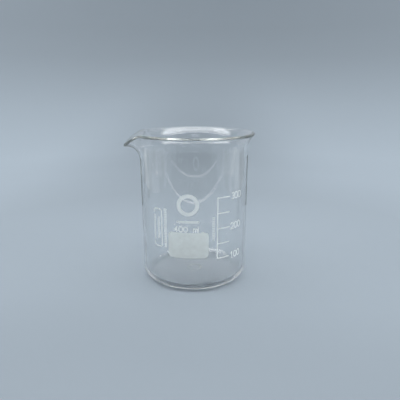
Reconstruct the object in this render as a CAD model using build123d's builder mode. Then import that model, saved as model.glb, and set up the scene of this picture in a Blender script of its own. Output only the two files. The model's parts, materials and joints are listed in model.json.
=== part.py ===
from build123d import *
from math import cos, degrees, hypot, pi, radians, sin
import os

# A 400 ml low-form laboratory beaker: one piece of blown glass with a flared, beaded rim and a
# pulled pouring spout, and white enamel markings fired onto the outside of its wall.
# Millimetres. +Z is up and the base stands on Z = 0. The Z axis is the beaker's axis, the
# writing patch faces -Y and the spout points 12 degrees round from -X towards -Y.

# The glass
OUTER_DIAMETER = 80.0
HEIGHT = 110.0
WALL = 2.0
FLOOR = 2.4
HEEL_RADIUS = 7.0
INNER_HEEL_RADIUS = 5.5
BASE_RING = 11.0
BASE_RING_WIDTH = 0.8
BASE_RING_DEPTH = 0.25

# The rim. Above the shoulder the wall goes on straight as far as the flare, then leans out.
RIM_DIAMETER = 89.2
BEAD = 2.4
SHOULDER = 85.0
FLARE_START = 99.0
FLARE_LEAN = 48.0
FLARE_GRIP = 3.74
RIM_STEPS = 8

# The spout. Swings are degrees round the axis from its middle, and each power says how quickly
# that part of the pull dies away towards the edges of the spout.
SPOUT_AZIMUTH = 192.0
SPOUT_SPREAD = 32.0
SPOUT_TIP_SWING = 8.0
SPOUT_REACH, REACH_POWER = 7.1, 2.0
SPOUT_DROP, DROP_POWER = 7.8, 2.0
SPOUT_START_DROP = 11.0
SPOUT_LEAN = 44.0
SPOUT_GRIP = 3.9
BEND_POWER = 1.5
SPOUT_SWINGS = [4.0, 8.0, 12.0, 16.0, 20.0, 24.0, 28.0, SPOUT_SPREAD]
SPOUT_SEAM = 0.002

# The enamel. Arcs are measured round the outside of the wall from the middle of the patch.
ENAMEL = 0.06
STROKE = 0.55
PATCH_WIDTH, PATCH_HEIGHT, PATCH_CORNER = 28.1, 18.8, 2.6
PATCH_MIDDLE = 35.8
NUB_ARC, NUB_RADIUS = 10.1, 0.8
TICKS_ML = [100, 150, 200, 250, 300]
TICK_300_HEIGHT = 69.0
SCALE_ARC = 20.9
TICK_LENGTH = 10.1
LETTER_STROKE = 0.5
NUMERAL_HEIGHT, NUMERAL_WIDTH, NUMERAL_PITCH = 4.5, 2.9, 3.75
NUMERAL_ARC = 37.4
CAPACITY_HEIGHT, CAPACITY_WIDTH, CAPACITY_PITCH = 3.6, 2.6, 3.35
CAPACITY_MIDDLE = 47.6
SMALL_LETTER = 0.68
BAR_WIDTH, BAR_HEIGHT, BAR_MIDDLE = 15.9, 1.5, 52.9
RING_DIAMETER, RING_WIDTH, RING_MIDDLE = 15.2, 2.5, 64.8
FRAME_WIDTH, FRAME_HEIGHT, FRAME_CORNER = 7.4, 28.0, 2.0
FRAME_ARC, FRAME_MIDDLE = -23.1, 46.5
FRAME_GAP = 21.0
RUNG_HEIGHT, RUNG_PITCH = 0.6, 1.25
# Columns of plain short bars, by node: each column's arc, middle height, width and length
RUNG_COLUMNS = {
    "side_frame_bars": [(-26.2, 46.5, 1.2, 19.0), (-22.4, 46.5, 1.6, 17.0)],
    "left_bars": [(-16.6, 47.0, 2.0, 29.0)],
    "scale_bars": [(17.9, 47.2, 2.0, 17.6)],
}

OUTER_RADIUS = OUTER_DIAMETER / 2
INNER_RADIUS = OUTER_RADIUS - WALL
MIDDLE_RADIUS = OUTER_RADIUS - WALL / 2
BEAD_RADIUS = BEAD / 2
ML_PER_MM = pi * INNER_RADIUS**2 / 1000

os.makedirs("parts", exist_ok=True)


def radial_plane(azimuth):
    """Plane through the axis whose X runs outwards at an azimuth and whose Y is up."""
    turn = radians(azimuth)
    return Plane(origin=(0, 0, 0), x_dir=(cos(turn), sin(turn), 0), z_dir=(sin(turn), -cos(turn), 0))


def spout_pull(swing):
    """1 at the middle of the spout, falling to 0 at the edge of its spread, round at the tip."""
    bent = hypot(swing, SPOUT_TIP_SWING) - SPOUT_TIP_SWING
    full = hypot(SPOUT_SPREAD, SPOUT_TIP_SWING) - SPOUT_TIP_SWING
    return 1 - bent / full


def rim_middle_line(swing):
    """Control points of the curve along the middle of the flared glass, from wall to bead."""
    pull = spout_pull(swing)
    bend = pull**BEND_POWER
    start_z = FLARE_START - SPOUT_START_DROP * bend
    end_r = RIM_DIAMETER / 2 - BEAD_RADIUS + SPOUT_REACH * pull**REACH_POWER
    end_z = HEIGHT - BEAD_RADIUS - SPOUT_DROP * pull**DROP_POWER
    lean = radians(FLARE_LEAN + SPOUT_LEAN * bend)
    grip = FLARE_GRIP + SPOUT_GRIP * bend
    return [
        (MIDDLE_RADIUS, start_z),
        (MIDDLE_RADIUS, start_z + grip),
        (end_r - grip * sin(lean), end_z - grip * cos(lean)),
        (end_r, end_z),
    ]


def rim_section(swing):
    """Closed section of the rim from the shoulder up, thickening from the wall to the bead."""
    with BuildSketch(radial_plane(SPOUT_AZIMUTH + swing)) as section:
        with BuildLine():
            middle = Bezier(*rim_middle_line(swing), mode=Mode.PRIVATE)
            outside, inside = [], []
            for step in range(RIM_STEPS + 1):
                t = step / RIM_STEPS
                half = WALL / 2 + (BEAD_RADIUS - WALL / 2) * t * t * (3 - 2 * t)
                along = middle % t
                across = Vector(along.Y, -along.X) * half
                outside.append(middle @ t + across)
                inside.append(middle @ t - across)
            ends = [Vector(0, 1), middle % 1]
            Line((INNER_RADIUS, SHOULDER), (OUTER_RADIUS, SHOULDER))
            Line((OUTER_RADIUS, SHOULDER), outside[0])
            Spline(*outside, tangents=ends)
            ThreePointArc(outside[-1], middle @ 1 + (middle % 1) * BEAD_RADIUS, inside[-1])
            Spline(*inside, tangents=ends)
            Line(inside[0], (INNER_RADIUS, SHOULDER))
        make_face()
    return section.sketch


def wall_plane(arc, height):
    """Plane touching the outside of the wall, facing outwards, with Y up."""
    turn = radians(degrees(arc / OUTER_RADIUS) - 90)
    return Plane(
        origin=(OUTER_RADIUS * cos(turn), OUTER_RADIUS * sin(turn), height),
        x_dir=(-sin(turn), cos(turn), 0),
        z_dir=(cos(turn), sin(turn), 0),
    )


def tick_height(millilitres):
    """Height of a graduation line, from the straight bore's volume per millimetre."""
    return TICK_300_HEIGHT - (TICKS_ML[-1] - millilitres) / ML_PER_MM


def zero(width, height):
    Line((0, width / 2), (0, height - width / 2))
    ThreePointArc((0, height - width / 2), (width / 2, height), (width, height - width / 2))
    Line((width, height - width / 2), (width, width / 2))
    ThreePointArc((width, width / 2), (width / 2, 0), (0, width / 2))


def one(width, height):
    Polyline((width * 0.2, height * 0.76), (width * 0.6, height), (width * 0.6, 0))


def two(width, height):
    radius = width / 2
    top = CenterArc((radius, height - radius), radius, 165, -195)
    Polyline(top @ 1, (0, 0), (width, 0))


def three(width, height):
    radius = height / 4
    CenterArc((width - radius, height - radius), radius, 150, -240)
    CenterArc((width - radius, radius), radius, 90, -240)


def four(width, height):
    Polyline((width, height * 0.3), (0, height * 0.3), (width * 0.7, height), (width * 0.7, 0))


def letter_m(width, height):
    bow = width / 4
    foot_to_bow = height * SMALL_LETTER - bow
    for left in (0, width / 2):
        Line((left + 2 * bow, 0), (left + 2 * bow, foot_to_bow))
        CenterArc((left + bow, foot_to_bow), bow, 0, 180)
    Line((0, 0), (0, height * SMALL_LETTER))


def letter_l(width, height):
    Line((0, 0), (0, height))


GLYPHS = {"0": zero, "1": one, "2": two, "3": three, "4": four, "m": letter_m, "l": letter_l}


def stroked(glyph, width, height):
    """Flat outline of one glyph, its lower left corner at the origin, in even, round-ended strokes."""
    with BuildLine() as lines:
        GLYPHS[glyph](width, height)
    with BuildSketch() as drawn:
        for edge in lines.edges():
            trace(edge, line_width=LETTER_STROKE)
        with Locations(*lines.vertices()):
            Circle(LETTER_STROKE / 2)
    return drawn.sketch


def lettering(plane, text, width, height, pitch):
    """Upright glyphs in a row, centred on a plane."""
    left = -(pitch * (len(text) - 1) + width) / 2
    with BuildSketch(plane) as row:
        for place, glyph in enumerate(text):
            if glyph != " ":
                with Locations((left + place * pitch, -height / 2)):
                    add(stroked(glyph, width, height))
    return row.sketch


def rungs(arc, middle, width, length):
    """A column of plain short bars on the wall."""
    with BuildSketch(wall_plane(arc, middle)) as column:
        with GridLocations(0, RUNG_PITCH, 1, int(length / RUNG_PITCH)):
            Rectangle(width, RUNG_HEIGHT)
    return column.sketch


with BuildPart() as enamel_skin:
    with BuildSketch():
        Circle(OUTER_RADIUS + ENAMEL)
        Circle(OUTER_RADIUS, mode=Mode.SUBTRACT)
    extrude(amount=HEIGHT)


def fired_on(name, *sketches):
    """Writes sub-part `name`: flat sketches on the wall's touching planes, as layers of enamel."""
    with BuildPart() as layer:
        for sketch in sketches:
            extrude(sketch, amount=WALL)
            extrude(sketch, amount=-OUTER_RADIUS / 4)
        add(enamel_skin.part, mode=Mode.INTERSECT)
    layer.part.label = name
    export_step(layer.part, f"parts/{name}.step")


# The glass: floor, heel and straight wall all round, and the rim all round outside the spout.
# Both revolves begin at one edge of the spout's spread.
spout_edge = radial_plane(SPOUT_AZIMUTH + SPOUT_SPREAD)
with BuildPart() as cup_and_rim:
    with BuildSketch(spout_edge):
        with BuildLine():
            Line((0, 0), (OUTER_RADIUS - HEEL_RADIUS, 0))
            JernArc((OUTER_RADIUS - HEEL_RADIUS, 0), (1, 0), HEEL_RADIUS, 90)
            Line((OUTER_RADIUS, HEEL_RADIUS), (OUTER_RADIUS, SHOULDER))
            Line((OUTER_RADIUS, SHOULDER), (INNER_RADIUS, SHOULDER))
            Line((INNER_RADIUS, SHOULDER), (INNER_RADIUS, FLOOR + INNER_HEEL_RADIUS))
            JernArc((INNER_RADIUS, FLOOR + INNER_HEEL_RADIUS), (0, -1), INNER_HEEL_RADIUS, -90)
            Line((INNER_RADIUS - INNER_HEEL_RADIUS, FLOOR), (0, FLOOR))
            Line((0, FLOOR), (0, 0))
        make_face()
    revolve(axis=Axis.Z)
    revolve(rim_section(SPOUT_SPREAD), axis=Axis.Z, revolution_arc=360 - 2 * SPOUT_SPREAD)

# The spout, through sections swung from one edge of its spread to the other
with BuildPart() as spout:
    left_to_right = [-swing for swing in reversed(SPOUT_SWINGS)] + [0.0] + SPOUT_SWINGS
    loft([rim_section(swing) for swing in left_to_right])

# The whole vessel. The fuse takes a tolerance, which a builder can't give it, because the loft
# follows the round wall only to within a couple of micrometres.
one_glass = cup_and_rim.part.fuse(spout.part, tol=SPOUT_SEAM)
with BuildPart() as glass_vessel:
    add(one_glass)
    # The shallow moulded ring under the floor
    with BuildSketch(Plane.XY):
        Circle(BASE_RING / 2)
        Circle(BASE_RING / 2 - BASE_RING_WIDTH, mode=Mode.SUBTRACT)
    extrude(amount=BASE_RING_DEPTH, mode=Mode.SUBTRACT)
glass_vessel.part.label = "glass_vessel"
export_step(glass_vessel.part, "parts/glass_vessel.step")

# The writing patch, with the small locating nub on its upper edge
with BuildSketch(wall_plane(0, PATCH_MIDDLE)) as patch:
    RectangleRounded(PATCH_WIDTH, PATCH_HEIGHT, PATCH_CORNER)
    with Locations((NUB_ARC, PATCH_HEIGHT / 2)):
        Circle(NUB_RADIUS)
fired_on("writing_patch", patch.sketch)

# The capacity, then a plain bar and a plain ring above it
capacity_plane = wall_plane(0, CAPACITY_MIDDLE)
capacity = lettering(capacity_plane, "400 ml", CAPACITY_WIDTH, CAPACITY_HEIGHT, CAPACITY_PITCH)
fired_on("capacity_mark", capacity)
with BuildSketch(wall_plane(0, BAR_MIDDLE)) as bar:
    SlotOverall(BAR_WIDTH, BAR_HEIGHT)
fired_on("plain_bar", bar.sketch)
with BuildSketch(wall_plane(0, RING_MIDDLE)) as ring:
    Circle(RING_DIAMETER / 2)
    Circle(RING_DIAMETER / 2 - RING_WIDTH, mode=Mode.SUBTRACT)
fired_on("plain_ring", ring.sketch)

# The graduation scale: an upright line with a tick every 50 ml, and a numeral every 100 ml
scale_bottom, scale_top = tick_height(TICKS_ML[0]), tick_height(TICKS_ML[-1])
with BuildSketch(wall_plane(SCALE_ARC + TICK_LENGTH / 2, 0)) as scale:
    with Locations((-TICK_LENGTH / 2, (scale_bottom + scale_top) / 2)):
        Rectangle(STROKE, scale_top - scale_bottom + STROKE)
    for millilitres in TICKS_ML:
        with Locations((0, tick_height(millilitres))):
            Rectangle(TICK_LENGTH, STROKE)
fired_on("graduation_scale", scale.sketch)
for millilitres in TICKS_ML[::2]:
    numeral_plane = wall_plane(NUMERAL_ARC, tick_height(millilitres))
    numeral = lettering(numeral_plane, str(millilitres), NUMERAL_WIDTH, NUMERAL_HEIGHT, NUMERAL_PITCH)
    fired_on(f"numeral_{millilitres}", numeral)

# The tall side frame, open along the middle of its left edge
with BuildSketch(wall_plane(FRAME_ARC, FRAME_MIDDLE)) as frame:
    RectangleRounded(FRAME_WIDTH, FRAME_HEIGHT, FRAME_CORNER)
    inner_size = (FRAME_WIDTH - 2 * STROKE, FRAME_HEIGHT - 2 * STROKE, FRAME_CORNER - STROKE)
    RectangleRounded(*inner_size, mode=Mode.SUBTRACT)
    with Locations((-FRAME_WIDTH / 2, 0)):
        Rectangle(FRAME_WIDTH / 2, FRAME_GAP, mode=Mode.SUBTRACT)
fired_on("side_frame", frame.sketch)
for name, columns in RUNG_COLUMNS.items():
    fired_on(name, *[rungs(*column) for column in columns])
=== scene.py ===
import json
import math

import bpy
import numpy as np
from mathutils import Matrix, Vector


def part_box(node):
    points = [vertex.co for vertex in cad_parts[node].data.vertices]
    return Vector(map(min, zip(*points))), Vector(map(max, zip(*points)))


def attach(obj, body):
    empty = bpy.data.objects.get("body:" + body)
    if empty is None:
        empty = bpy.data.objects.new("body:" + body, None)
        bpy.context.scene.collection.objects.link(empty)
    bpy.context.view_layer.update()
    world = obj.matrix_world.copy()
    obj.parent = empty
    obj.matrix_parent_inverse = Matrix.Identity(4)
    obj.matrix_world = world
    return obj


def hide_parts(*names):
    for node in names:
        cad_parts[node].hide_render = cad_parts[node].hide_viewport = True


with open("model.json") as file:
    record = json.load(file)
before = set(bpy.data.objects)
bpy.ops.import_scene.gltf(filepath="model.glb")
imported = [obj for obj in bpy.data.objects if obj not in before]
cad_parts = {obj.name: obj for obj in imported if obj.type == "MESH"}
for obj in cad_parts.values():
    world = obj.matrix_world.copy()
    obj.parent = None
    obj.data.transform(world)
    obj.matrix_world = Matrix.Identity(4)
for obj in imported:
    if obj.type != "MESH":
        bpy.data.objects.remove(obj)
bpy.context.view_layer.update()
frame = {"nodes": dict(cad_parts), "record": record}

# The look of a 400 ml laboratory beaker, in metres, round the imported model. The glass is rebuilt
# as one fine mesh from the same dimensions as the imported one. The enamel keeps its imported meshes.
MM = 0.001
glass_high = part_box("glass_vessel")[1]
patch_low, patch_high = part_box("writing_patch")
bore = next(m for m in frame["record"]["mounts"] if m["name"] == "cup_bore")
enamel_nodes = {name: node for name, node in frame["nodes"].items() if name != "glass_vessel"}

# The glass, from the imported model's box and its bore, and then its own proportions
HEIGHT = glass_high.z
INNER_RADIUS = bore["dims"]["r_mm"] * MM
WALL = 2.0 * MM
OUTER_RADIUS = INNER_RADIUS + WALL
RIM_RADIUS = glass_high.x
FLOOR = 2.4 * MM
HEEL_RADIUS = 7.0 * MM
FLAT_RADIUS = OUTER_RADIUS - HEEL_RADIUS
INNER_HEEL_RADIUS = 5.5 * MM
BEAD_RADIUS = 1.2 * MM
FLARE_START = 99.0 * MM
FLARE_LEAN = math.radians(48.0)
FLARE_GRIP = 3.74 * MM
BASE_RING_RADIUS, BASE_RING_WIDTH, BASE_RING_DEPTH = 5.1 * MM, 0.8 * MM, 0.25 * MM

# The spout. Swings are degrees round the axis from its middle. Reach and drop die away towards
# its edges by one power of its pull, and everything that bends it by another. The reach stops
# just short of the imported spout's.
SPOUT_AZIMUTH = 192.0
SPOUT_SPREAD = 32.0
SPOUT_TIP_SWING = 8.0
SPOUT_REACH = 7.08 * MM
SPOUT_DROP = 7.8 * MM
SPOUT_START_DROP = 11.0 * MM
SPOUT_LEAN = math.radians(44.0)
SPOUT_GRIP = 3.9 * MM
PULL_POWER, BEND_POWER = 2, 1.5

# Only the visual glass has these: a base pressed up in the middle, an outer wall that stands a
# little proud, so that the enamel is sunk into it, and a slightly uneven inner wall
BASE_DISH = 0.45 * MM
GLASS_OVER_ENAMEL = 0.015 * MM
WAVINESS = 0.05 * MM

# The unevenness fades out towards these heights, and is on points this near the inner wall's
# radius. Each wave has a strength, a number round the wall, a lean per metre up, and a start.
WAVY_LOW, WAVY_HIGH, WAVY_FADE = 12 * MM, 95 * MM, 15 * MM
WAVY_REACH = 0.3 * MM
WAVES = [(1.0, 3, 40, 0.0), (0.6, 5, -70, 1.0)]

# How finely the glass is divided. Columns go round it, and steps go along its section. The
# underside's spans are two radii and a number of points, closest together over the moulded ring.
SPOUT_COLUMNS, OTHER_COLUMNS = 161, 225
RIM_STEPS, WALL_STEPS, FLOOR_STEPS = 25, 30, 20
HEEL_STEPS, INNER_HEEL_STEPS, LIP_STEPS = 16, 14, 14
MIDDLE_GAP = 0.6 * MM
UNDERSIDE_SPANS = [
    (MIDDLE_GAP, 4.4 * MM, 8),
    (4.5 * MM, 5.7 * MM, 13),
    (6.5 * MM, FLAT_RADIUS, 24),
]

# Clear borosilicate glass
GLASS_COLOUR = (0.985, 0.987, 0.985, 1)
GLASS_IOR = 1.473
GLASS_DENSITY, GLASS_DEPTH_COLOUR = 0.5, (0.35, 0.62, 0.30, 1)

# Fired enamel. Each kind has a thin tone and a thick one, and the patch has painted light: lighter
# towards its top.
PRINT_TONES = (0.74, 0.77, 0.765), (0.79, 0.82, 0.81)
SOLID_TONES = (0.59, 0.63, 0.64), (0.64, 0.675, 0.68)
PATCH_TONES = (0.515, 0.55, 0.545), (0.585, 0.63, 0.625)
SOLID_ENAMEL_NODES = ("plain_ring", "plain_bar", "scale_bars")
ENAMEL_IOR = 1.5
CLOUD_SCALE, CLOUD_DETAIL = 260.0, 3.0
GRAIN_SCALE, GRAIN_DETAIL = 4200.0, 2.0
THIN_BELOW, THICK_ABOVE = 0.3, 0.75
# Painted light on the patch: how far its tone is pushed darker at its foot and lighter at its head.
PAINTED_SHADE_AT_FOOT, PAINTED_LIGHT_AT_HEAD = -0.2, 0.3
SMOOTHEST, ROUGHEST = 0.35, 0.6
BUMP_STRENGTH, BUMP_HEIGHT = 0.25, 0.02 * MM

# The camera: a little to the right of the patch and looking down at it
CAMERA_AWAY = 297.7 * MM
CAMERA_HEIGHT = 140.2 * MM
CAMERA_AZIMUTH = math.radians(6.35)
CAMERA_DOWN = math.radians(15.5)
CAMERA_TURN = math.radians(-0.85)
CAMERA_SENSOR_MM, CAMERA_LENS_MM = 36.0, 36.0
CAMERA_NEAREST, CAMERA_FURTHEST = 0.01, 20.0

# The stage: a flat floor out to the first radius, and a sweep up to the second and to a height
FLOOR_LEVEL = -0.05 * MM
STAGE_FLAT, STAGE_RADIUS, STAGE_HEIGHT = 0.55, 1.5, 1.3
STAGE_MIDDLE_GAP = 0.01
STAGE_STEPS, STAGE_COLUMNS = 40, 128

# The tone of its paper, with painted light and shade. Each fade is a distance from the axis and what
# the colour is times there: a painted falloff of light over the floor and up the sweep.
# A soft painted shadow lies on the floor behind the beaker, and painted shade deepens its front a
# little.
PAPER_COLOUR = (0.184, 0.214, 0.243)
PAPER_PAINTED_FALLOFF = [
    (0.0, 1.015), (0.15, 1.015), (0.26, 1.0), (0.41, 1.11), (0.625, 1.18), (0.8, 1.12),
    (0.91, 1.06), (1.0, 0.98), (1.1, 0.88), (1.19, 0.86), (1.28, 0.915),
]
PAINTED_SHADOW_DEPTH = 0.27
PAINTED_SHADOW_PLACE, PAINTED_SHADOW_REACH = (-0.068, 0.58, 0.0), 0.32
PAINTED_SHADOW_STRETCH = (1.0, 0.55, 0.55)
PAINTED_FRONT_SPAN, PAINTED_FRONT_SHADE = (-0.134, -0.05), 0.92

# The surroundings that only reflections show. A dappled card's tone is uneven, and goes down to
# a share of its strength. Tones are 0 to 255, as on a screen.
MIRRORED_ROOM = 0.65
CARD_STEPS = 17
DAPPLE_FROM, DAPPLE_TO, DAPPLE_SHARE = 0.42, 0.62, 0.35
WHITE, COOL_WHITE = (255, 255, 255), (236, 244, 250)
PALE_GREY, NEAR_BLACK = (184, 188, 195), (30, 34, 36)
LEFT_GREY, RIGHT_GREY, LOW_GREY = (92, 100, 100), (100, 108, 108), (104, 112, 112)
FRONT_CARD_FOOT = 0.0035

# The room and its lights
ROOM_COLOUR = (0.97, 0.99, 1.0, 1)
CEILING, CEILING_WIDTH = 1.0, 2.6

# Light is mirrored many times inside the wall of the glass before it comes out again
MAX_BOUNCES, DIFFUSE_BOUNCES = 96, 4


def spout_pull(swing):
    """1 at the middle of the spout, falling to 0 at the edge of its spread, round at the tip."""
    bent = np.hypot(swing, SPOUT_TIP_SWING) - SPOUT_TIP_SWING
    full = math.hypot(SPOUT_SPREAD, SPOUT_TIP_SWING) - SPOUT_TIP_SWING
    return max(0.0, 1 - bent / full)


def rim_curve(swing):
    """Middle points, outward sides and half thicknesses of the flared glass at one swing."""
    pull = spout_pull(swing)
    bend = pull**BEND_POWER
    start = FLARE_START - SPOUT_START_DROP * bend
    end_r = RIM_RADIUS - BEAD_RADIUS + SPOUT_REACH * pull**PULL_POWER
    end_z = HEIGHT - BEAD_RADIUS - SPOUT_DROP * pull**PULL_POWER
    lean = FLARE_LEAN + SPOUT_LEAN * bend
    grip = FLARE_GRIP + SPOUT_GRIP * bend
    middle_r = OUTER_RADIUS - WALL / 2
    corners = np.array([
        (middle_r, start),
        (middle_r, start + grip),
        (end_r - grip * math.sin(lean), end_z - grip * math.cos(lean)),
        (end_r, end_z),
    ])
    t = np.linspace(0, 1, RIM_STEPS)[:, None]
    weights = np.hstack([(1 - t) ** 3, 3 * t * (1 - t) ** 2, 3 * t * t * (1 - t), t**3])
    slopes = np.hstack([-3 * (1 - t) ** 2, 3 * (1 - t) * (1 - 3 * t), 3 * t * (2 - 3 * t), 3 * t * t])
    along = slopes @ corners
    along /= np.linalg.norm(along, axis=1)[:, None]
    side = np.column_stack([along[:, 1], -along[:, 0]])
    half = WALL / 2 + (BEAD_RADIUS - WALL / 2) * t * t * (3 - 2 * t)
    return weights @ corners, side, half


def arc(centre, radius, first, last, steps):
    """Points of an arc in the section, without its first one. Angles are in degrees."""
    turn = np.radians(np.linspace(first, last, steps + 1)[1:])
    return np.array(centre) + radius * np.column_stack([np.cos(turn), np.sin(turn)])


def straight(first, last, steps):
    """Points along a line in the section, without its first one."""
    t = np.linspace(0, 1, steps + 1)[1:, None]
    return np.array(first) * (1 - t) + np.array(last) * t


def underside():
    """Points under the base, outwards from its middle: a shallow dish with a moulded ring."""
    r = np.concatenate([np.linspace(*span) for span in UNDERSIDE_SPANS])
    reach = r / FLAT_RADIUS
    dish = BASE_DISH * (1 - reach**2) ** 2
    ring = BASE_RING_DEPTH * np.exp(-(((r - BASE_RING_RADIUS) / (BASE_RING_WIDTH / 2)) ** 4))
    return np.column_stack([r, dish + ring])


def section(swing):
    """The glass's section at one swing, from under the middle of the base round to above it."""
    middle, side, half = rim_curve(swing)
    outer = OUTER_RADIUS + GLASS_OVER_ENAMEL
    heel = (outer - HEEL_RADIUS, HEEL_RADIUS)
    inner_heel = (INNER_RADIUS - INNER_HEEL_RADIUS, FLOOR + INNER_HEEL_RADIUS)
    outside = middle + side * half
    outside[:, 0] += GLASS_OVER_ENAMEL * (1 - np.linspace(0, 1, len(outside))) ** 2
    inside = middle - side * half
    lip_turn = math.degrees(math.atan2(side[-1, 1], side[-1, 0]))
    return np.vstack([
        underside(),
        arc(heel, HEEL_RADIUS, -90, 0, HEEL_STEPS),
        straight((outer, HEEL_RADIUS), outside[0], WALL_STEPS),
        outside[1:],
        arc(middle[-1], BEAD_RADIUS, lip_turn, lip_turn + 180, LIP_STEPS),
        inside[-2::-1],
        straight(inside[0], (INNER_RADIUS, FLOOR + INNER_HEEL_RADIUS), WALL_STEPS),
        arc(inner_heel, INNER_HEEL_RADIUS, 0, -90, INNER_HEEL_STEPS),
        straight((INNER_RADIUS - INNER_HEEL_RADIUS, FLOOR), (MIDDLE_GAP, FLOOR), FLOOR_STEPS),
    ])


def lathe(name, rings, ends):
    """A smooth mesh through rings of points, closed by one end point, or at both ends by two."""
    columns, count = rings.shape[0], rings.shape[1]
    vertices = np.vstack([rings.reshape(-1, 3), ends])
    faces = []
    for i in range(columns):
        j = (i + 1) % columns
        for k in range(count - 1):
            faces.append((i * count + k, j * count + k, j * count + k + 1, i * count + k + 1))
        faces.append((columns * count, j * count, i * count))
        if len(ends) > 1:
            faces.append((columns * count + 1, i * count + count - 1, j * count + count - 1))
    mesh = bpy.data.meshes.new(name)
    mesh.from_pydata(vertices.tolist(), [], faces)
    mesh.shade_smooth()
    mesh.validate()
    made = bpy.data.objects.new(name, mesh)
    bpy.context.scene.collection.objects.link(made)
    return made


def build_glass():
    """The vessel: sections swung round the axis, closer together across the spout."""
    spread = np.linspace(-SPOUT_SPREAD, SPOUT_SPREAD, SPOUT_COLUMNS)
    rest = np.linspace(SPOUT_SPREAD, 360 - SPOUT_SPREAD, OTHER_COLUMNS)[1:-1]
    strongest = sum(strength for strength, *_ in WAVES)
    rings = []
    for swing in np.concatenate([spread, rest]):
        r, z = section(min(swing, SPOUT_SPREAD)).T
        turn = math.radians(SPOUT_AZIMUTH + swing)
        wave = sum(size * np.sin(count * turn + lean * z + start) for size, count, lean, start in WAVES)
        inner_wall = (np.abs(r - INNER_RADIUS) < WAVY_REACH) & (z > WAVY_LOW)
        fade = np.clip((z - WAVY_LOW) / WAVY_FADE, 0, 1) * np.clip((WAVY_HIGH - z) / WAVY_FADE, 0, 1)
        r = r + inner_wall * fade * WAVINESS * wave / strongest
        rings.append(np.column_stack([r * math.cos(turn), r * math.sin(turn), z]))
    ends = [(0, 0, BASE_DISH), (0, 0, FLOOR)]
    return lathe("beaker_glass", np.array(rings), ends)


def nodes_of(material):
    """A material's emptied node tree, and a new output in it."""
    material.use_nodes = True
    tree = material.node_tree
    tree.nodes.clear()
    return tree, tree.nodes.new("ShaderNodeOutputMaterial")


def add(tree, kind, **values):
    """A new node with its settings, or, where a name is a socket's, that socket's value."""
    node = tree.nodes.new(kind)
    for name, value in values.items():
        if hasattr(node, name):
            setattr(node, name, value)
        else:
            node.inputs[name.replace("_", " ")].default_value = value
    return node


def join(source, output, target, socket):
    """Link one node's output to another's input, which is named, or numbered where names repeat."""
    source.id_data.links.new(source.outputs[output], target.inputs[socket])


def glass_material():
    """Clear borosilicate: a hardly tinted surface, and grey-green where light goes far inside it."""
    material = bpy.data.materials.new("clear_borosilicate")
    tree, output = nodes_of(material)
    surface = add(tree, "ShaderNodeBsdfPrincipled", Roughness=0.0, IOR=GLASS_IOR)
    surface.inputs["Base Color"].default_value = GLASS_COLOUR
    surface.inputs["Transmission Weight"].default_value = 1.0
    depth = add(tree, "ShaderNodeVolumeAbsorption", Density=GLASS_DENSITY, Color=GLASS_DEPTH_COLOUR)
    join(surface, "BSDF", output, "Surface")
    join(depth, "Volume", output, "Volume")
    return material


def enamel_material(name, tones, foot=0.0, head=0.0):
    """Enamel fired onto the glass: satin, and faintly uneven from a thin tone to a thick one. With
    a foot and a head its colour also carries painted light, lighter from the one height to the other."""
    material = bpy.data.materials.new(name)
    tree, output = nodes_of(material)
    where = add(tree, "ShaderNodeTexCoord")
    surface = add(tree, "ShaderNodeBsdfPrincipled", IOR=ENAMEL_IOR)
    cloud = add(tree, "ShaderNodeTexNoise", Scale=CLOUD_SCALE, Detail=CLOUD_DETAIL)
    grain = add(tree, "ShaderNodeTexNoise", Scale=GRAIN_SCALE, Detail=GRAIN_DETAIL)
    tint = add(tree, "ShaderNodeValToRGB")
    for stop, place, tone in zip(tint.color_ramp.elements, (THIN_BELOW, THICK_ABOVE), tones):
        stop.position = place
        stop.color = (*tone, 1)
    rough = add(tree, "ShaderNodeMapRange", To_Min=SMOOTHEST, To_Max=ROUGHEST)
    bump = add(tree, "ShaderNodeBump", Strength=BUMP_STRENGTH, Distance=BUMP_HEIGHT)
    for texture in (cloud, grain):
        join(where, "Object", texture, "Vector")
    # Painted light: the tone is pushed lighter from the foot up to the head.
    if head > foot:
        axes = add(tree, "ShaderNodeSeparateXYZ")
        painted_light_by_height = add(
            tree, "ShaderNodeMapRange", From_Min=foot, From_Max=head,
            To_Min=PAINTED_SHADE_AT_FOOT, To_Max=PAINTED_LIGHT_AT_HEAD,
        )
        painted_light_rise = add(tree, "ShaderNodeMath", operation="ADD")
        join(where, "Object", axes, "Vector")
        join(axes, "Z", painted_light_by_height, "Value")
        join(painted_light_by_height, "Result", painted_light_rise, 0)
        join(cloud, "Fac", painted_light_rise, 1)
        join(painted_light_rise, "Value", tint, "Fac")
    else:
        join(cloud, "Fac", tint, "Fac")
    join(tint, "Color", surface, "Base Color")
    join(grain, "Fac", rough, "Value")
    join(rough, "Result", surface, "Roughness")
    join(grain, "Fac", bump, "Height")
    join(bump, "Normal", surface, "Normal")
    join(surface, "BSDF", output, "Surface")
    return material


def screen_colour(red, green, blue):
    """A colour given as 0 to 255 on a screen, as the shader's own linear values."""
    linear = [((c / 255 + 0.055) / 1.055) ** 2.4 for c in (red, green, blue)]
    return (*linear, 1)


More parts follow.
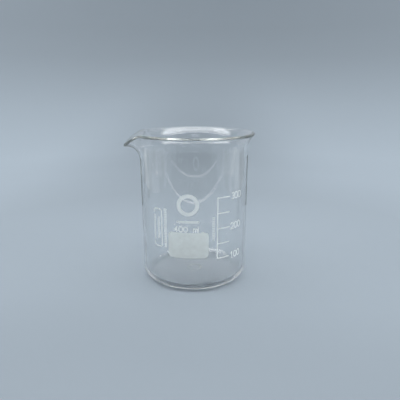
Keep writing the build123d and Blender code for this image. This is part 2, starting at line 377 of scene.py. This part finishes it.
def backdrop_material():
    """Pale blue-grey paper, in the tones set out above, with their painted light falloff, painted
    shadow behind the beaker and painted shade at the front.
    """
    material = bpy.data.materials.new("pale_paper_painted_shade")
    tree, output = nodes_of(material)
    where = add(tree, "ShaderNodeTexCoord")
    flatten = add(tree, "ShaderNodeVectorMath", operation="MULTIPLY")
    flatten.inputs[1].default_value = (1.0, 1.0, 0.0)
    radius = add(tree, "ShaderNodeVectorMath", operation="LENGTH")
    last = PAPER_PAINTED_FALLOFF[-1][0]
    outwards = add(tree, "ShaderNodeMapRange", From_Max=last)
    # Painted light: the paper's colour falls off outwards, as light falls on the floor and the sweep.
    tones = add(tree, "ShaderNodeValToRGB")
    while len(tones.color_ramp.elements) < len(PAPER_PAINTED_FALLOFF):
        tones.color_ramp.elements.new(0.5)
    for stop, (level, fade) in zip(tones.color_ramp.elements, PAPER_PAINTED_FALLOFF):
        stop.position = level / last
        stop.color = (*[fade * part for part in PAPER_COLOUR], 1)
    # Painted shadow: a soft darker patch on the floor behind the beaker.
    offset = add(tree, "ShaderNodeVectorMath", operation="SUBTRACT")
    offset.inputs[1].default_value = PAINTED_SHADOW_PLACE
    stretch = add(tree, "ShaderNodeVectorMath", operation="MULTIPLY")
    stretch.inputs[1].default_value = PAINTED_SHADOW_STRETCH
    away = add(tree, "ShaderNodeVectorMath", operation="LENGTH")
    painted_shadow_behind = add(
        tree, "ShaderNodeMapRange", interpolation_type="SMOOTHSTEP",
        From_Max=PAINTED_SHADOW_REACH, To_Min=1 - PAINTED_SHADOW_DEPTH,
    )
    # Painted shade: the front of the floor is darker.
    axes = add(tree, "ShaderNodeSeparateXYZ")
    front = add(
        tree, "ShaderNodeMapRange", From_Min=PAINTED_FRONT_SPAN[0], From_Max=PAINTED_FRONT_SPAN[1],
        To_Min=PAINTED_FRONT_SHADE,
    )
    # Both painted shades darken the paper's colour.
    painted_shades = add(tree, "ShaderNodeMath", operation="MULTIPLY")
    painted_shading = add(tree, "ShaderNodeVectorMath", operation="SCALE")
    surface = add(tree, "ShaderNodeBsdfDiffuse")
    join(where, "Object", flatten, 0)
    join(flatten, "Vector", radius, 0)
    join(radius, "Value", outwards, "Value")
    join(outwards, "Result", tones, "Fac")
    join(where, "Object", offset, 0)
    join(offset, "Vector", stretch, 0)
    join(stretch, "Vector", away, 0)
    join(away, "Value", painted_shadow_behind, "Value")
    join(where, "Object", axes, "Vector")
    join(axes, "Y", front, "Value")
    join(painted_shadow_behind, "Result", painted_shades, 0)
    join(front, "Result", painted_shades, 1)
    join(tones, "Color", painted_shading, 0)
    join(painted_shades, "Value", painted_shading, "Scale")
    join(painted_shading, "Vector", surface, "Color")
    join(surface, "BSDF", output, "Surface")
    return material


def mirrored_material(name, tone, strength, dapple):
    """For studio flags and reflectors: only light that has mirrored off something meets them.
    Dapple is the size of soft uneven patches in the tone, or 0 for an even one."""
    material = bpy.data.materials.new(name)
    tree, output = nodes_of(material)
    path = add(tree, "ShaderNodeLightPath")
    mirrored = add(tree, "ShaderNodeMath", operation="GREATER_THAN")
    mirrored.inputs[1].default_value = 0.5  # the depth is 0 until the light has mirrored once
    clear = add(tree, "ShaderNodeBsdfTransparent")
    glow = add(tree, "ShaderNodeEmission", Strength=strength, Color=screen_colour(*tone))
    if dapple:
        where = add(tree, "ShaderNodeTexCoord")
        patches = add(tree, "ShaderNodeTexNoise", Scale=1 / dapple, Detail=1.0)
        spread = add(
            tree, "ShaderNodeMapRange", From_Min=DAPPLE_FROM, From_Max=DAPPLE_TO,
            To_Min=DAPPLE_SHARE * strength, To_Max=strength,
        )
        join(where, "Object", patches, "Vector")
        join(patches, "Fac", spread, "Value")
        join(spread, "Result", glow, "Strength")
    either = add(tree, "ShaderNodeMixShader")
    join(path, "Glossy Depth", mirrored, 0)
    join(mirrored, "Value", either, "Fac")
    join(clear, "BSDF", either, 1)
    join(glow, "Emission", either, 2)
    join(either, "Shader", output, "Surface")
    material.cycles.emission_sampling = "NONE"
    return material


def card(name, turn, away, width, low, high, tone, strength, dapple=0, bow=0):
    """An upright card facing the beaker, seen only in reflections. Turn is degrees round from the
    camera, and bow curves its ends in towards the beaker."""
    azimuth = CAMERA_AZIMUTH + math.radians(turn)
    out = Vector((math.sin(azimuth), -math.cos(azimuth), 0))
    across = Vector((math.cos(azimuth), math.sin(azimuth), 0))
    places = np.linspace(-width / 2, width / 2, CARD_STEPS)
    foot = [out * (away - bow * place**2) + across * place for place in places]
    mesh = bpy.data.meshes.new(name)
    corners = [(c.x, c.y, z) for c in foot for z in (low, high)]
    faces = [(i, i + 2, i + 3, i + 1) for i in range(0, len(corners) - 2, 2)]
    mesh.from_pydata(corners, [], faces)
    mesh.materials.append(mirrored_material(name, tone, strength, dapple))
    made = bpy.data.objects.new(name, mesh)
    made.visible_camera = False
    made.visible_diffuse = False
    made.visible_shadow = False
    bpy.context.scene.collection.objects.link(made)


def build_cards():
    """A dark front with a bright foot and a bright strip, a pale wall at each side, darker flags
    low behind on both sides, and a wide pale reflector behind them all."""
    card("dark_front", turn=0, away=0.268, width=0.52, low=FRONT_CARD_FOOT, high=0.56,
         tone=NEAR_BLACK, strength=1.0, bow=0.3)
    card("front_foot", turn=0, away=0.268, width=0.86, low=0.0, high=FRONT_CARD_FOOT,
         tone=WHITE, strength=1.9, bow=0.3)
    card("front_strip", turn=0, away=0.267, width=0.12, low=0.255, high=0.27,
         tone=WHITE, strength=6.0)
    for name, turn, strength in (("left_wall", -92, 1.0), ("right_wall", 92, 0.8)):
        card(name, turn, away=0.30, width=0.40, low=0.0, high=0.075,
             tone=COOL_WHITE, strength=strength, dapple=0.09)
    for name, turn, tone in (("left_flag", -155, LEFT_GREY), ("right_flag", 155, RIGHT_GREY)):
        card(name, turn, away=0.20, width=0.07, low=0.0, high=0.063, tone=tone, strength=1.0)
    card("left_low_flag", turn=-155, away=0.10, width=0.035, low=0.0, high=0.026,
         tone=LOW_GREY, strength=1.0)
    card("rear_reflector", turn=180, away=0.9, width=1.9, low=0.2, high=0.8,
         tone=PALE_GREY, strength=1.0, bow=0.35)


def build_stage():
    """A round floor that sweeps up into a wall all round, with no edge in sight."""
    t = np.linspace(0, math.pi / 2, STAGE_STEPS)
    flat = np.linspace(STAGE_MIDDLE_GAP, STAGE_FLAT, STAGE_STEPS)
    sweep_r = STAGE_FLAT + (STAGE_RADIUS - STAGE_FLAT) * np.sin(t)
    sweep_z = STAGE_HEIGHT * (1 - np.cos(t))
    r = np.concatenate([flat, sweep_r[1:]])
    z = np.concatenate([flat * 0, sweep_z[1:]]) + FLOOR_LEVEL
    turns = np.linspace(0, 2 * math.pi, STAGE_COLUMNS, endpoint=False)
    rings = np.array([np.column_stack([r * math.cos(a), r * math.sin(a), z]) for a in turns])
    floor = lathe("stage_floor", rings, [(0, 0, FLOOR_LEVEL)])
    floor.data.materials.append(backdrop_material())


def softbox(name, size, place, aim, power):
    """A rectangular soft light aimed at a point."""
    light = bpy.data.lights.new(name, "AREA")
    light.shape = "RECTANGLE"
    light.size, light.size_y = size
    light.energy = power
    lamp = bpy.data.objects.new(name, light)
    lamp.location = place
    lamp.rotation_euler = (Vector(aim) - Vector(place)).to_track_quat("-Z", "Y").to_euler()
    bpy.context.scene.collection.objects.link(lamp)
    return lamp


def hanging_softbox(name, depth, y, power, height=CEILING):
    """A long soft light hung over the scene from side to side, aimed straight down."""
    return softbox(name, (CEILING_WIDTH, depth), (0.0, y, height), (0, y, 0.0), power)


def hide_from_glass(lamp):
    """The lamp still lights the paper and the enamel, but no reflection or refraction shows it."""
    lamp.visible_glossy = False
    lamp.visible_transmission = False


def light_the_room():
    """An even white room all round, a little dimmer where it is seen mirrored."""
    world = bpy.data.worlds.new("soft_room")
    bpy.context.scene.world = world
    world.use_nodes = True
    sky = world.node_tree.nodes["Background"]
    sky.inputs["Color"].default_value = ROOM_COLOUR
    path = add(world.node_tree, "ShaderNodeLightPath")
    dimmer = add(world.node_tree, "ShaderNodeMapRange", To_Min=1.0, To_Max=MIRRORED_ROOM)
    join(path, "Glossy Depth", dimmer, "Value")
    join(dimmer, "Result", sky, "Strength")


def hang_the_lights():
    """Three soft lights overhead that the glass may mirror, one behind and one at each side that
    it may not, and a weak one in front that reaches the enamel alone."""
    hanging_softbox("front_softbox", depth=0.07, y=-0.42, power=6.0)
    hanging_softbox("top_softbox", depth=0.6, y=-0.1, power=12.0)
    hanging_softbox("top_strip", depth=0.16, y=-0.02, power=4.0, height=0.99)
    rear = hanging_softbox("rear_softbox", depth=0.2, y=0.65, power=12.0)
    hide_from_glass(rear)
    for name, side in (("left_softbox", -1), ("right_softbox", 1)):
        place = (1.15 * side, -0.1, 0.75)
        beside = softbox(name, size=(0.8, 0.4), place=place, aim=(0, 0, 0.1), power=2.0)
        hide_from_glass(beside)
    front = softbox(
        "front_fill", size=(0.5, 0.3), place=(0.1, -0.9, 0.55), aim=(0, 0, 0.05), power=3.0
    )
    lit = bpy.data.collections.new("lit_by_front_fill")
    for node in enamel_nodes.values():
        lit.objects.link(node)
    front.light_linking.receiver_collection = lit


def place_camera():
    """The camera stands on its azimuth, turned a little off the beaker's axis and tipped down."""
    camera = bpy.data.cameras.new("camera")
    camera.sensor_width, camera.lens = CAMERA_SENSOR_MM, CAMERA_LENS_MM
    camera.clip_start, camera.clip_end = CAMERA_NEAREST, CAMERA_FURTHEST
    made = bpy.data.objects.new("camera", camera)
    across, towards = math.sin(CAMERA_AZIMUTH), -math.cos(CAMERA_AZIMUTH)
    made.location = (CAMERA_AWAY * across, CAMERA_AWAY * towards, CAMERA_HEIGHT)
    made.rotation_euler = (math.pi / 2 - CAMERA_DOWN, 0, CAMERA_AZIMUTH + CAMERA_TURN)
    bpy.context.scene.collection.objects.link(made)
    bpy.context.scene.camera = made


def enamel_the_nodes():
    """Give each packed enamel node its kind of enamel."""
    print_enamel = enamel_material("fired_white_enamel", PRINT_TONES)
    solid_enamel = enamel_material("fired_thin_enamel", SOLID_TONES)
    # The patch's tone carries painted light, lighter towards its top.
    patch_enamel = enamel_material("fired_matt_enamel_painted_light", PATCH_TONES, patch_low.z, patch_high.z)
    enamels = {"writing_patch": patch_enamel, **dict.fromkeys(SOLID_ENAMEL_NODES, solid_enamel)}
    for name, node in enamel_nodes.items():
        for holder in node.material_slots:
            holder.material = enamels.get(name, print_enamel)


place_camera()
glass = build_glass()
glass.data.materials.append(glass_material())
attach(glass, "root")
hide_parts("glass_vessel")
enamel_the_nodes()
build_stage()
build_cards()
light_the_room()
hang_the_lights()

scene = bpy.context.scene
scene.view_settings.view_transform = "Standard"
scene.cycles.use_denoising = True
scene.cycles.max_bounces = MAX_BOUNCES
scene.cycles.transmission_bounces = MAX_BOUNCES
scene.cycles.glossy_bounces = MAX_BOUNCES
scene.cycles.diffuse_bounces = DIFFUSE_BOUNCES
scene.cycles.blur_glossy = 0.0
